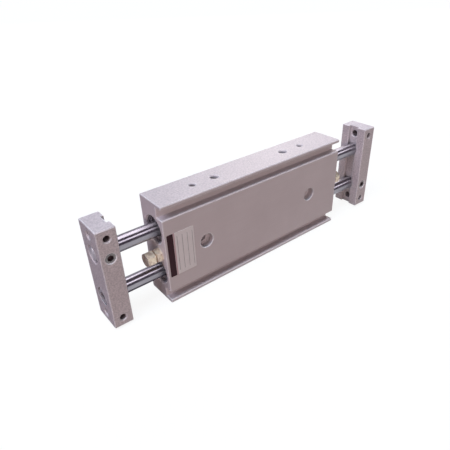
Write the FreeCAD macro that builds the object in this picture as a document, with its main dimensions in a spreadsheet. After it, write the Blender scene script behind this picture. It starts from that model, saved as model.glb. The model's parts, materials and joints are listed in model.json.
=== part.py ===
import FreeCAD, Part
import os
import Sketcher

# Twin rod pneumatic cylinder with a plate on both ends of its rods, in millimetres.
# X runs along the rods, -Y is the wide front face with the switch grooves and Z is up.
# The origin is the middle of the narrow face that the body stands on.

# Driving sizes
SIZES = [
    ("body_length", 128.0, "body along the rods"),
    ("body_depth", 20.0, "body across its narrow faces"),
    ("body_chamfer", 0.4, "long edges of the body"),
    ("end_chamfer", 0.3, "edges of the faces that end the body and the plates"),
    ("bore_diameter", 15.0, "both cylinder bores"),
    ("bore_web", 10.0, "metal between the bores"),
    ("bore_wall", 9.0, "metal from a bore to the nearest narrow face"),
    ("mouth_chamfer", 0.7, "lead-in at each end of a bore"),
    ("rod_diameter", 8.0, "both rods"),
    ("stroke", 32.0, "travel between the two bumper bolts"),
    ("rest_shift", 2.3, "how far the rods stand to the right of mid stroke"),
    ("running_gap", 0.05, "clearance of what slides, on the radius"),
    ("seat_gap", 0.02, "clearance of what is pushed in, on the radius"),
    ("clear_gap", 0.3, "clearance of what a rod passes freely, on the radius"),
    ("switch_width", 5.5, "mouth of a switch groove"),
    ("switch_depth", 5.0, "depth of a switch groove"),
    ("switch_lip", 2.0, "lip outside a switch groove"),
    ("mount_spacing", 78.0, "mounting holes along the body"),
    ("mount_hole", 4.3, "through hole of a mounting hole"),
    ("mount_sink", 8.5, "counterbore of a mounting hole"),
    ("mount_sink_depth", 4.4, "depth of that counterbore"),
    ("side_drill", 3.3, "core of the M4 threads"),
    ("side_mouth", 4.3, "countersink of the M4 threads"),
    ("side_depth", 7.0, "depth of the M4 threads in the body"),
    ("port_drill", 4.2, "core of the M5 ports"),
    ("port_mouth", 5.4, "countersink of the M5 ports"),
    ("port_depth", 5.5, "depth of the port thread"),
    ("port_inset", 3.0, "port axis from the end of the chamber"),
    ("passage", 2.5, "air passage below a port"),
    ("ring_inset", 1.4, "snap ring below the end face"),
    ("ring_thickness", 1.0, "snap ring"),
    ("ring_seat", 0.35, "depth of the snap ring groove"),
    ("ring_play", 0.05, "snap ring in its groove"),
    ("ring_band", 1.2, "width of the snap ring's band"),
    ("ring_half_gap", 0.8, "half of the snap ring's opening"),
    ("lug_angle", 25.0, "a lug from the middle of the opening"),
    ("lug_gap", 0.4, "lug from the rod"),
    ("lug_hole", 1.5, "plier hole in a lug"),
    ("ring_turn", 20.0, "opening of the snap ring from upright"),
    ("retainer_thickness", 1.2, "seal retainer"),
    ("seal_wall", 2.0, "rod seal on the radius"),
    ("seal_length", 3.8, "rod seal"),
    ("seal_lip", 0.6, "lips of the rod seal on the radius"),
    ("seal_notch", 1.6, "depth between those lips"),
    ("bush_wall", 1.0, "slide bush on the radius"),
    ("cover_lip", 2.0, "inner end of the rod cover behind the bush"),
    ("oring_cord", 1.26, "cord of the cover's O-ring"),
    ("oring_room", 0.02, "O-ring cord to its groove on each side"),
    ("oring_place", 16.0, "O-ring below the end face"),
    ("piston_length", 9.0, "piston"),
    ("piston_gap", 0.1, "piston to bore on the radius"),
    ("piston_seal_width", 2.0, "piston seal"),
    ("piston_seal_depth", 1.6, "groove of the piston seal"),
    ("magnet_width", 2.6, "magnet ring"),
    ("magnet_depth", 1.8, "groove of the magnet ring"),
    ("land", 1.1, "piston rim outside its seal and its magnet"),
    ("bumper_length", 2.5, "rubber bumper on a piston face"),
    ("bumper_gap", 0.9, "bumper to bore on the radius"),
    ("clip_width", 0.8, "clip that holds the piston"),
    ("clip_depth", 0.6, "clip in the rod"),
    ("clip_rise", 1.0, "clip above the rod"),
    ("clip_opening", 4.0, "mouth of the clip"),
    ("end_room", 5.0, "bumper to rod cover when a bumper bolt stops the rods"),
    ("plate_thickness", 10.0, "end plate along the rods"),
    ("plate_inset", 1.0, "edge of the plate inside the body's outline"),
    ("plate_chamfer", 0.5, "edges of the plate"),
    ("relief_width", 6.6, "groove down the inner face of a plate"),
    ("relief_depth", 1.7, "depth of that groove"),
    ("plate_spacing", 46.0, "threads up a plate"),
    ("plate_drill", 4.2, "core of the plate's M5 threads"),
    ("plate_mouth", 5.2, "countersink of the plate's M5 threads"),
    ("plate_side_depth", 6.0, "depth of the M4 threads in a plate's edge"),
    ("rod_hole_chamfer", 1.0, "chamfer around the rod's end"),
    ("rod_chamfer", 0.5, "end of a rod"),
    ("rod_seat", 3.0, "rod's other end inside its plate"),
    ("cap_thread", 5.0, "end screw"),
    ("cap_head", 8.5, "head of the end screw"),
    ("cap_height", 5.0, "height of that head"),
    ("cap_socket", 4.0, "its socket across the flats"),
    ("cap_sink", 9.6, "counterbore for that head"),
    ("cap_sink_depth", 5.2, "depth of that counterbore"),
    ("cap_grip", 10.0, "end screw inside the rod"),
    ("thread_gap", 0.05, "screw in its thread on the radius"),
    ("drill_rest", 2.0, "thread left over behind a screw"),
    ("lock_thread", 6.0, "side screw"),
    ("lock_socket", 3.0, "its socket across the flats"),
    ("lock_socket_depth", 2.4, "depth of that socket"),
    ("lock_inset", 0.4, "side screw below the plate's edge"),
    ("screw_chamfer", 0.4, "ends and rims of screws"),
    ("bolt_offset", 3.4, "bumper bolt in front of the body's middle"),
    ("bolt_drop", 0.7, "bumper bolt below the body's middle"),
    ("bolt_thread", 4.0, "bumper bolt"),
    ("bolt_grip", 12.0, "bumper bolt inside the body"),
    ("hex_width", 7.0, "bumper bolt and lock nut across the flats"),
    ("hex_turn", 7.0, "their foremost flat from upright"),
    ("nut_thickness", 3.2, "lock nut"),
    ("head_gap", 0.9, "lock nut to bolt head"),
    ("head_height", 4.4, "head of the bumper bolt"),
]

doc = FreeCAD.newDocument("TwinRodCylinder")
sheet = doc.addObject("Spreadsheet::Sheet", "Sizes")
for row, (alias, size, note) in enumerate(SIZES, start=1):
    sheet.set(f"A{row}", alias)
    sheet.set(f"B{row}", str(size))
    sheet.setAlias(f"B{row}", alias)
    sheet.set(f"C{row}", note)
doc.recompute()

# Sizes worked out from the driving ones, as expressions
half_length = "Sizes.body_length / 2"
half_depth = "Sizes.body_depth / 2"
bore = "Sizes.bore_diameter / 2"
rod = "Sizes.rod_diameter / 2"
pitch = "(Sizes.bore_diameter + Sizes.bore_web)"
height = f"({pitch} + Sizes.bore_diameter + 2 * Sizes.bore_wall)"
bolt_level = f"({height} / 2 - Sizes.bolt_drop)"
bolt_reach = "(Sizes.nut_thickness + Sizes.head_gap + Sizes.head_height)"
plate_span = f"(Sizes.body_length + Sizes.stroke + 2 * {bolt_reach} + 2 * Sizes.plate_thickness)"
half_chamber = "(Sizes.stroke / 2 + Sizes.piston_length / 2 + Sizes.bumper_length + Sizes.end_room)"
port_place = f"({half_chamber} - Sizes.port_inset)"
mount_place = "Sizes.mount_spacing / 2"
ring_inner_side = "(Sizes.ring_inset + Sizes.ring_thickness)"
cover_start = f"({ring_inner_side} + Sizes.retainer_thickness)"
cover_end = f"({half_length} - {half_chamber})"
seal_end = f"({cover_start} + Sizes.seal_length)"
bush_end = f"({cover_end} - Sizes.cover_lip)"
sliding_hole = f"({rod} + Sizes.running_gap)"
passing_hole = f"({rod} + Sizes.clear_gap)"
seal_outside = f"({rod} + Sizes.running_gap + Sizes.seal_wall)"
bush_outside = f"({rod} + Sizes.running_gap + Sizes.bush_wall)"
cover_outside = f"({bore} - Sizes.seat_gap)"
oring_floor = f"({bore} - Sizes.oring_cord - 2 * Sizes.oring_room)"
half_cord = "(Sizes.oring_cord / 2 + Sizes.oring_room)"
piston_outside = f"({bore} - Sizes.piston_gap)"
half_piston = "Sizes.piston_length / 2"
plate_half_depth = f"({half_depth} - Sizes.plate_inset)"
plate_half_height = f"({height} / 2 - Sizes.plate_inset)"

LEFT, RIGHT = -1, 1
SIDES = {"left": LEFT, "right": RIGHT}
LEVELS = {"upper": 1, "lower": -1}


def number(expression):
    return float(sheet.evalExpression(expression))


# Sketches and features

def new_body(name, base, turn_axis=None, turn=0.0):
    """An empty body whose origin is at the three expressions of base."""
    body = doc.addObject("PartDesign::Body", name)
    for letter, expression in zip("xyz", base):
        body.setExpression(f"Placement.Base.{letter}", expression)
    if turn_axis:
        rotation = FreeCAD.Rotation(FreeCAD.Vector(turn_axis), turn)
        body.Placement = FreeCAD.Placement(FreeCAD.Vector(), rotation)
    return body


def new_sketch(body, plane, lift="0", raise_by="0"):
    """A sketch on an origin plane, moved along the plane's normal and up in the plane."""
    sketch = body.newObject("Sketcher::SketchObject", "Sketch")
    origin_plane = next(item for item in body.Origin.OriginFeatures if item.Role == plane)
    sketch.AttachmentSupport = [(origin_plane, "")]
    sketch.MapMode = "FlatFace"
    sketch.setExpression("AttachmentOffset.Base.z", lift)
    sketch.setExpression("AttachmentOffset.Base.y", raise_by)
    return sketch


def place_point(sketch, line, end, x, y):
    """Tie one point of a sketch to two expressions, measured from the sketch's origin."""
    for kind, axis, expression in (("DistanceX", -2, x), ("DistanceY", -1, y)):
        if expression == "0":
            sketch.addConstraint(Sketcher.Constraint("PointOnObject", line, end, axis))
        else:
            value = number(expression)
            spot = sketch.addConstraint(Sketcher.Constraint(kind, -1, 1, line, end, value))
            sketch.setExpression(f"Constraints[{spot}]", expression)


def draw_outline(sketch, points):
    """A closed outline of straight lines through pairs of expressions."""
    corners = [FreeCAD.Vector(number(x), number(y), 0) for x, y in points]
    first = sketch.GeometryCount
    for start, end in zip(corners, corners[1:] + corners[:1]):
        sketch.addGeometry(Part.LineSegment(start, end))
    for index, (x, y) in enumerate(points):
        line = first + index
        before = first + (index - 1) % len(points)
        sketch.addConstraint(Sketcher.Constraint("Coincident", before, 2, line, 1))
        place_point(sketch, line, 1, x, y)
    return sketch


def draw_circle(sketch, x, y, radius):
    centre = FreeCAD.Vector(number(x), number(y), 0)
    circle = sketch.addGeometry(Part.Circle(centre, FreeCAD.Vector(0, 0, 1), number(radius)))
    place_point(sketch, circle, 3, x, y)
    spot = sketch.addConstraint(Sketcher.Constraint("Radius", circle, number(radius)))
    sketch.setExpression(f"Constraints[{spot}]", radius)
    return sketch


def hexagon(width):
    """Corners of a hexagon with two upright sides, from its width across the flats."""
    side = f"{width} / (2 * sqrt(3))"
    return [
        (f"{width} / 2", f"-{side}"), (f"{width} / 2", side), ("0", f"{width} / sqrt(3)"),
        (f"-{width} / 2", side), (f"-{width} / 2", f"-{side}"), ("0", f"-{width} / sqrt(3)"),
    ]


def pad(body, sketch, length, middle=False):
    feature = body.newObject("PartDesign::Pad", "Pad")
    feature.Profile = sketch
    feature.setExpression("Length", length)
    feature.SideType = "Symmetric" if middle else "One side"
    return feature


def chamfer_ends(body, block):
    """Break the edges of the two faces that end a padded block along X."""
    doc.recompute()
    faces = enumerate(block.Shape.Faces, start=1)
    ends = [f"Face{index}" for index, face in faces if abs(face.normalAt(0, 0).x) > 0.99]
    feature = body.newObject("PartDesign::Chamfer", "Chamfer")
    feature.Base = (block, ends)
    feature.setExpression("Size", "Sizes.end_chamfer")
    return feature


def pocket(body, sketch, length, along_normal=False):
    feature = body.newObject("PartDesign::Pocket", "Pocket")
    feature.Profile = sketch
    feature.setExpression("Length", length)
    feature.Reversed = along_normal
    return feature


def hole(body, sketch, diameter, depth, mouth=None, mouth_depth=None, along_normal=False):
    """Drilled holes at the sketch's circles, countersunk, or counterbored where mouth_depth is given."""
    feature = body.newObject("PartDesign::Hole", "Hole")
    feature.Profile = sketch
    feature.Reversed = along_normal
    doc.recompute()
    feature.DepthType = "Dimension"
    feature.DrillPoint = "Flat"
    feature.setExpression("Diameter", diameter)
    feature.setExpression("Depth", depth)
    if mouth:
        feature.HoleCutType = "Counterbore" if mouth_depth else "Countersink"
        feature.HoleCutCustomValues = True
        feature.setExpression("HoleCutDiameter", mouth)
        if mouth_depth:
            feature.setExpression("HoleCutDepth", mouth_depth)
        else:
            feature.HoleCutCountersinkAngle = 90
    return feature


def revolve(body, sketch, kind="PartDesign::Revolution"):
    """Turn a profile about the sketch's horizontal axis, as metal or as a groove."""
    feature = body.newObject(kind, "Turned")
    feature.Profile = sketch
    feature.ReferenceAxis = (sketch, ["H_Axis"])
    feature.Angle = 360
    return feature


def turned(body, points):
    """Metal turned about the body's X axis, from pairs of place along it and radius."""
    return revolve(body, draw_outline(new_sketch(body, "XZ_Plane"), points))


def sleeve(body, start, end, inside, outside):
    return turned(body, [(start, inside), (start, outside), (end, outside), (end, inside)])


def shave_hexagon(body, face, inward):
    """Take the corners off a hexagon with a 30 degree cone at one of its faces."""
    inner = "0.475 * Sizes.hex_width"
    outer = "0.62 * Sizes.hex_width"
    slope = f"{face} + {inward} * ({outer} - {inner}) * tan(30)"
    corner = draw_outline(new_sketch(body, "XZ_Plane"), [(face, inner), (face, outer), (slope, outer)])
    return revolve(body, corner, "PartDesign::Groove")


# Frames that the pieces are made in

def end_frame(name, side, y="0", z="0"):
    """A body with its origin on an end face of the cylinder body and X pointing into it."""
    base = (f"{side} * {half_length}", y, z)
    return new_body(name, base, (0, 0, 1), 0 if side == LEFT else 180)


def turn_back(body, angle):
    """Turn a body about its own X axis, its -Y side upwards."""
    turn = FreeCAD.Rotation(FreeCAD.Vector(1, 0, 0), -number(angle))
    body.Placement = FreeCAD.Placement(body.Placement.Base, body.Placement.Rotation * turn)


def bolt_frame(name, side):
    """A body on the axis of a bumper bolt, turned as the bolt was left by the spanner."""
    body = end_frame(name, side, "-Sizes.bolt_offset", bolt_level)
    turn_back(body, "Sizes.hex_turn")
    return body


def level_height(level):
    return f"{height} / 2 + {level} * {pitch} / 2"


def rod_frame(name, side, x_from_end="0", z_from_axis="0"):
    """A body on a plate's outer face with X pointing at the other plate; the right one is upside down."""
    x = f"Sizes.rest_shift + {side} * ({plate_span} / 2 - {x_from_end})"
    z = f"{height} / 2 - {side} * {z_from_axis}"
    return new_body(name, (x, "0", z), (0, 1, 0), 0 if side == LEFT else 180)


# Cylinder body

def body_outline():
    """Section of the extrusion: a chamfered block with two switch grooves in its front."""
    front, back = f"-{half_depth}", half_depth
    edge = "Sizes.body_chamfer"
    floor = f"{front} + Sizes.switch_depth"
    near, far = "Sizes.switch_lip", "(Sizes.switch_lip + Sizes.switch_width)"
    groove = [
        (front, f"{far} + {edge}"), (f"{front} + {edge}", far), (floor, far),
        (floor, near), (f"{front} + {edge}", near), (front, f"{near} - {edge}"),
    ]
    upper_groove = [(y, f"{height} - ({z})") for y, z in reversed(groove)]
    upper_edge = [
        (back, f"{height} - {edge}"), (f"{back} - {edge}", height),
        (f"{front} + {edge}", height), (front, f"{height} - {edge}"),
    ]
    lower_edge = [(front, edge), (f"{front} + {edge}", "0"), (f"{back} - {edge}", "0"), (back, edge)]
    return upper_edge + upper_groove + groove + lower_edge


def bore_profile():
    """Half section of one bore with its lead-ins and snap ring grooves, from left to right."""
    seat = f"({bore} + Sizes.ring_seat)"
    seat_start = "(Sizes.ring_inset - Sizes.ring_play)"
    seat_end = f"({ring_inner_side} + Sizes.ring_play)"
    left_end = [
        ("0", f"{bore} + Sizes.mouth_chamfer"), ("Sizes.mouth_chamfer", bore),
        (seat_start, bore), (seat_start, seat), (seat_end, seat), (seat_end, bore),
    ]
    points = [(f"-{half_length}", "0")]
    points += [(f"-{half_length} + {depth}", radius) for depth, radius in left_end]
    points += [(f"{half_length} - {depth}", radius) for depth, radius in reversed(left_end)]
    return points + [(half_length, "0")]


def holes_at(body, plane, lift, places, level="0", radius="Sizes.side_drill / 2"):
    """A sketch with a pair of circles at plus and minus each place."""
    sketch = new_sketch(body, plane, lift)
    for place in places:
        for sign in ("-", ""):
            draw_circle(sketch, f"{sign}{place}", level, radius)
    return sketch


def make_body_block():
    body = new_body("body_block", ("0", "0", "0"))
    block = draw_outline(new_sketch(body, "YZ_Plane"), body_outline())
    chamfer_ends(body, pad(body, block, "Sizes.body_length", middle=True))
    for level in LEVELS.values():
        section = new_sketch(body, "XZ_Plane", raise_by=level_height(level))
        revolve(body, draw_outline(section, bore_profile()), "PartDesign::Groove")

    # Mounting holes, counterbored from both wide faces
    middle = f"{height} / 2"
    for lift, along_normal in ((half_depth, False), (f"-{half_depth}", True)):
        spots = holes_at(body, "XZ_Plane", lift, [mount_place], middle)
        hole(body, spots, "Sizes.mount_hole", half_depth, "Sizes.mount_sink", "Sizes.mount_sink_depth",
             along_normal)

    # Threads in both narrow faces and the ports in the upper one
    for lift, along_normal in ((height, False), ("0", True)):
        spots = holes_at(body, "XY_Plane", lift, [mount_place])
        hole(body, spots, "Sizes.side_drill", "Sizes.side_depth", "Sizes.side_mouth", None, along_normal)
    ports = holes_at(body, "XY_Plane", height, [port_place])
    hole(body, ports, "Sizes.port_drill", "Sizes.port_depth", "Sizes.port_mouth")
    passages = holes_at(body, "XY_Plane", height, [port_place], radius="Sizes.passage / 2")
    pocket(body, passages, f"{height} - ({level_height(-1)})")

    # Threads for the bumper bolts
    for side, along_normal in ((LEFT, True), (RIGHT, False)):
        end = new_sketch(body, "YZ_Plane", f"{side} * {half_length}")
        draw_circle(end, "-Sizes.bolt_offset", bolt_level, "Sizes.bolt_thread / 2")
        pocket(body, end, "Sizes.bolt_grip + Sizes.drill_rest", along_normal)
    return body


# Rod bearings and seals at the four bore ends

def make_rod_cover(name, side, z):
    body = end_frame(name, side, z=z)
    near, far = f"Sizes.oring_place - {half_cord}", f"Sizes.oring_place + {half_cord}"
    turned(body, [
        (cover_start, seal_outside), (cover_start, cover_outside),
        (near, cover_outside), (near, oring_floor), (far, oring_floor), (far, cover_outside),
        (cover_end, cover_outside), (cover_end, passing_hole),
        (bush_end, passing_hole), (bush_end, bush_outside),
        (seal_end, bush_outside), (seal_end, seal_outside),
    ])
    return body


def make_bush(name, side, z):
    body = end_frame(name, side, z=z)
    sleeve(body, seal_end, bush_end, sliding_hole, bush_outside)
    return body


def make_rod_seal(name, side, z):
    """A lip seal, open towards the pressure."""
    body = end_frame(name, side, z=z)
    notch = f"{seal_end} - Sizes.seal_notch"
    turned(body, [
        (cover_start, sliding_hole), (cover_start, seal_outside),
        (seal_end, seal_outside), (seal_end, f"{seal_outside} - Sizes.seal_lip"),
        (notch, f"{rod} + Sizes.running_gap + Sizes.seal_wall / 2"),
        (seal_end, f"{sliding_hole} + Sizes.seal_lip"), (seal_end, sliding_hole),
    ])
    return body


def make_seal_retainer(name, side, z):
    body = end_frame(name, side, z=z)
    sleeve(body, ring_inner_side, cover_start, passing_hole, cover_outside)
    return body


def make_oring(name, side, z):
    """A ring with an eight-sided section around its round cord."""
    body = end_frame(name, side, z=z)
    middle = f"({bore} - {half_cord})"
    far = "Sizes.oring_cord / 2"
    near = f"({far} * tan(22.5))"
    corners = [
        (f"-{far}", f"-{near}"), (f"-{far}", near), (f"-{near}", far), (near, far),
        (far, near), (far, f"-{near}"), (near, f"-{far}"), (f"-{near}", f"-{far}"),
    ]
    turned(body, [(f"Sizes.oring_place + ({x})", f"{middle} + ({r})") for x, r in corners])
    return body


def make_snap_ring(name, side, z):
    """An internal snap ring: an open band with a plier lug on each side of the opening."""
    body = end_frame(name, side, z=z)
    turn_back(body, "Sizes.ring_turn")
    outside = f"({bore} + Sizes.ring_seat - Sizes.ring_play)"
    inside = f"({outside} - Sizes.ring_band)"
    lug_inside = f"({rod} + Sizes.lug_gap)"
    lug_radius = f"(({outside} - {lug_inside}) / 2 - Sizes.ring_play)"
    lug_centre = f"({lug_inside} + {lug_radius})"
    across = f"{lug_centre} * sin(Sizes.lug_angle)"
    up = f"{lug_centre} * cos(Sizes.lug_angle)"

    band = new_sketch(body, "YZ_Plane", "Sizes.ring_inset")
    draw_circle(band, "0", "0", outside)
    draw_circle(band, "0", "0", inside)
    pad(body, band, "Sizes.ring_thickness")
    opening = new_sketch(body, "YZ_Plane", ring_inner_side)
    gap = "Sizes.ring_half_gap"
    top = f"{bore} + Sizes.bore_wall / 2"
    draw_outline(opening, [(f"-{gap}", rod), (gap, rod), (gap, top), (f"-{gap}", top)])
    pocket(body, opening, "Sizes.ring_thickness")
    for sign in ("-", ""):
        lug = new_sketch(body, "YZ_Plane", "Sizes.ring_inset")
        draw_circle(lug, f"{sign}{across}", up, lug_radius)
        draw_circle(lug, f"{sign}{across}", up, "Sizes.lug_hole / 2")
        pad(body, lug, "Sizes.ring_thickness")
    return body


# Bumper bolts with their lock nuts

def make_bumper_bolt(name, side):
    body = bolt_frame(name, side)
    shank = "(Sizes.bolt_thread / 2 - Sizes.thread_gap)"
    under_head = "-(Sizes.nut_thickness + Sizes.head_gap)"
    tip = f"{shank} - Sizes.screw_chamfer"
    head = draw_outline(new_sketch(body, "YZ_Plane", f"-{bolt_reach}"), hexagon("Sizes.hex_width"))
    pad(body, head, "Sizes.head_height")
    turned(body, [
        (under_head, "0"), (under_head, shank), ("Sizes.bolt_grip - Sizes.screw_chamfer", shank),
        ("Sizes.bolt_grip", tip), ("Sizes.bolt_grip", "0"),
    ])
    shave_hexagon(body, f"-{bolt_reach}", 1)
    return body


def make_lock_nut(name, side):
    body = bolt_frame(name, side)
    section = draw_outline(new_sketch(body, "YZ_Plane", "-Sizes.nut_thickness"), hexagon("Sizes.hex_width"))
    draw_circle(section, "0", "0", "Sizes.bolt_thread / 2")
    pad(body, section, "Sizes.nut_thickness")
    shave_hexagon(body, "-Sizes.nut_thickness", 1)
    return body


# Rods with their pistons

def make_rod(name, side):
    """One end lies flush in its own plate, the other is drilled for the end screw of the far plate."""
    body = rod_frame(name, side, z_from_axis=f"{pitch} / 2")
    far = f"({plate_span} - Sizes.plate_thickness + Sizes.rod_seat)"
    drill = f"({far} - Sizes.cap_grip - Sizes.drill_rest)"
    thread = "Sizes.cap_thread / 2"
    neck = f"({rod} - Sizes.clip_depth)"
    points = [("0", "0"), ("0", f"{rod} - Sizes.rod_chamfer"), ("Sizes.rod_chamfer", rod)]
    middle = f"{plate_span} / 2"
    for start in (f"({middle} - {half_piston} - Sizes.clip_width)", f"({middle} + {half_piston})"):
        end = f"({start} + Sizes.clip_width)"
        points += [(start, rod), (start, neck), (end, neck), (end, rod)]
    points += [
        (f"{far} - Sizes.rod_chamfer", rod), (far, f"{rod} - Sizes.rod_chamfer"),
        (far, thread), (drill, thread), (drill, "0"),
    ]
    turned(body, points)
    return body


def piston_body(name, level):
    return new_body(name, ("Sizes.rest_shift", "0", level_height(level)))


def make_piston(name, level):
    """A disc with one groove for its seal and one for its magnet."""
    body = piston_body(name, level)
    seal_start, seal_floor = f"-{half_piston} + Sizes.land", f"{piston_outside} - Sizes.piston_seal_depth"
    magnet_end, magnet_floor = f"{half_piston} - Sizes.land", f"{piston_outside} - Sizes.magnet_depth"
    seal_stop = f"{seal_start} + Sizes.piston_seal_width"
    magnet_start = f"{magnet_end} - Sizes.magnet_width"
    turned(body, [
        (f"-{half_piston}", rod), (f"-{half_piston}", piston_outside),
        (seal_start, piston_outside), (seal_start, seal_floor),
        (seal_stop, seal_floor), (seal_stop, piston_outside),
        (magnet_start, piston_outside), (magnet_start, magnet_floor),
        (magnet_end, magnet_floor), (magnet_end, piston_outside),
        (half_piston, piston_outside), (half_piston, rod),
    ])
    return body


def make_piston_seal(name, level):
    body = piston_body(name, level)
    start = f"-{half_piston} + Sizes.land"
    sleeve(body, start, f"{start} + Sizes.piston_seal_width",
           f"{piston_outside} - Sizes.piston_seal_depth", f"{bore} - Sizes.running_gap")
    return body


def make_magnet(name, level):
    body = piston_body(name, level)
    end = f"{half_piston} - Sizes.land"
    sleeve(body, f"{end} - Sizes.magnet_width", end, f"{piston_outside} - Sizes.magnet_depth",
           f"{piston_outside} - Sizes.seat_gap")
    return body


def make_pair(name, pieces):
    """One node for two equal pieces."""
    pair = doc.addObject("Part::Compound", name)
    pair.Links = pieces
    return pair


def make_piston_bumpers(name, level):
    """A rubber ring around the clip on each face of the piston."""
    inside = f"{rod} + Sizes.clip_rise + Sizes.clear_gap"
    outside = f"{bore} - Sizes.bumper_gap"
    rings = []
    for side in SIDES.values():
        ring = piston_body(f"{name}_ring", level)
        face = f"{side} * {half_piston}"
        sleeve(ring, face, f"{face} + {side} * Sizes.bumper_length", inside, outside)
        rings.append(ring)
    return make_pair(name, rings)


def make_piston_clips(name, level):
    """An open clip in the rod on each side of the piston."""
    clips = []
    for side in SIDES.values():
        clip = piston_body(f"{name}_clip", level)
        start = half_piston if side == RIGHT else f"-{half_piston} - Sizes.clip_width"
        band = new_sketch(clip, "YZ_Plane", start)
        draw_circle(band, "0", "0", f"{rod} + Sizes.clip_rise")
        draw_circle(band, "0", "0", f"{rod} - Sizes.clip_depth")
        pad(clip, band, "Sizes.clip_width")
        mouth = new_sketch(clip, "YZ_Plane", f"{start} + Sizes.clip_width")
        half = "Sizes.clip_opening / 2"
        below = f"-{bore}"
        draw_outline(mouth, [(f"-{half}", "0"), (f"-{half}", below), (half, below), (half, "0")])
        pocket(clip, mouth, "Sizes.clip_width")
        clips.append(clip)
    return make_pair(name, clips)


# End plates with their screws

def make_plate(name, side):
    """In the left plate the upper rod is flush and side-clamped and the lower one has the end screw."""
    body = rod_frame(name, side)
    edge = "Sizes.plate_chamfer"
    y, z = plate_half_depth, plate_half_height
    outline = [
        (y, f"{z} - {edge}"), (f"{y} - {edge}", z), (f"-{y} + {edge}", z), (f"-{y}", f"{z} - {edge}"),
        (f"-{y}", f"-{z} + {edge}"), (f"-{y} + {edge}", f"-{z}"), (f"{y} - {edge}", f"-{z}"),
        (y, f"-{z} + {edge}"),
    ]
    block = draw_outline(new_sketch(body, "YZ_Plane"), outline)
    chamfer_ends(body, pad(body, block, "Sizes.plate_thickness"))
    relief = new_sketch(body, "YZ_Plane", "Sizes.plate_thickness")
    half = "Sizes.relief_width / 2"
    draw_outline(relief, [(half, f"-{z}"), (half, z), (f"-{half}", z), (f"-{half}", f"-{z}")])
    pocket(body, relief, "Sizes.relief_depth")

    # Clamped rod: a through hole with a wide chamfer around the rod's end
    axis, thick = f"{pitch} / 2", "Sizes.plate_thickness"
    clamped = draw_circle(new_sketch(body, "YZ_Plane"), "0", axis, rod)
    hole(body, clamped, f"2 * ({rod} + Sizes.seat_gap)", thick,
         f"2 * ({rod} + Sizes.rod_hole_chamfer)", None, True)

    # Screwed rod: a seat in the inner face and a counterbored screw hole in the outer one
    seat = draw_circle(new_sketch(body, "YZ_Plane", thick), "0", f"-{axis}", f"{rod} + Sizes.seat_gap")
    pocket(body, seat, "Sizes.rod_seat")
    screw = draw_circle(new_sketch(body, "YZ_Plane"), "0", f"-{axis}", "Sizes.cap_thread / 2")
    hole(body, screw, "Sizes.cap_thread + 4 * Sizes.thread_gap", thick, "Sizes.cap_sink",
         "Sizes.cap_sink_depth", True)

    # Threads through the plate, countersunk on both sides, and threads in its front edge
    up = "Sizes.plate_spacing / 2"
    outer_spots = new_sketch(body, "YZ_Plane")
    inner_spots = new_sketch(body, "YZ_Plane", f"{thick} - Sizes.relief_depth")
    edge_spots = new_sketch(body, "XZ_Plane", plate_half_depth)
    for place in (up, f"-{up}"):
        draw_circle(outer_spots, "0", place, "Sizes.plate_drill / 2")
        draw_circle(inner_spots, "0", place, "Sizes.plate_drill / 2")
        draw_circle(edge_spots, f"{thick} / 2", place, "Sizes.side_drill / 2")
    hole(body, outer_spots, "Sizes.plate_drill", f"{thick} / 2", "Sizes.plate_mouth", None, True)
    hole(body, inner_spots, "Sizes.plate_drill", f"{thick} / 2", "Sizes.plate_mouth")
    hole(body, edge_spots, "Sizes.side_drill", "Sizes.plate_side_depth", "Sizes.side_mouth")

    # Thread of the side screw, down to the clamped rod
    lock = draw_circle(new_sketch(body, "XZ_Plane", plate_half_depth), f"{thick} / 2", axis,
                       "Sizes.lock_thread / 2")
    pocket(body, lock, plate_half_depth)
    return body


def make_cap_screw(name, side):
    body = rod_frame(name, side, z_from_axis=f"-{pitch} / 2")
    floor = "Sizes.cap_sink_depth"
    top = f"({floor} - Sizes.cap_height)"
    head = "Sizes.cap_head / 2"
    shank = "(Sizes.cap_thread / 2 - Sizes.thread_gap)"
    tip = "(Sizes.plate_thickness - Sizes.rod_seat + Sizes.cap_grip)"
    turned(body, [
        (top, "0"), (top, f"{head} - Sizes.screw_chamfer"), (f"{top} + Sizes.screw_chamfer", head),
        (floor, head), (floor, shank), (f"{tip} - Sizes.screw_chamfer", shank),
        (tip, f"{shank} - Sizes.screw_chamfer"), (tip, "0"),
    ])
    socket = draw_outline(new_sketch(body, "YZ_Plane", top), hexagon("Sizes.cap_socket"))
    pocket(body, socket, "Sizes.cap_height / 2", True)
    return body


def make_side_screw(name, side):
    """A headless socket screw through the plate's front edge, its end on the rod."""
    body = rod_frame(name, side, "Sizes.plate_thickness / 2", f"{pitch} / 2")
    outer = f"{plate_half_depth} - Sizes.lock_inset"
    radius = "(Sizes.lock_thread / 2 - Sizes.thread_gap)"
    section = draw_circle(new_sketch(body, "XZ_Plane", rod), "0", "0", radius)
    pad(body, section, f"{outer} - {rod}")
    socket = draw_outline(new_sketch(body, "XZ_Plane", outer), hexagon("Sizes.lock_socket"))
    pocket(body, socket, "Sizes.lock_socket_depth")
    return body


# Assembly

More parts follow.
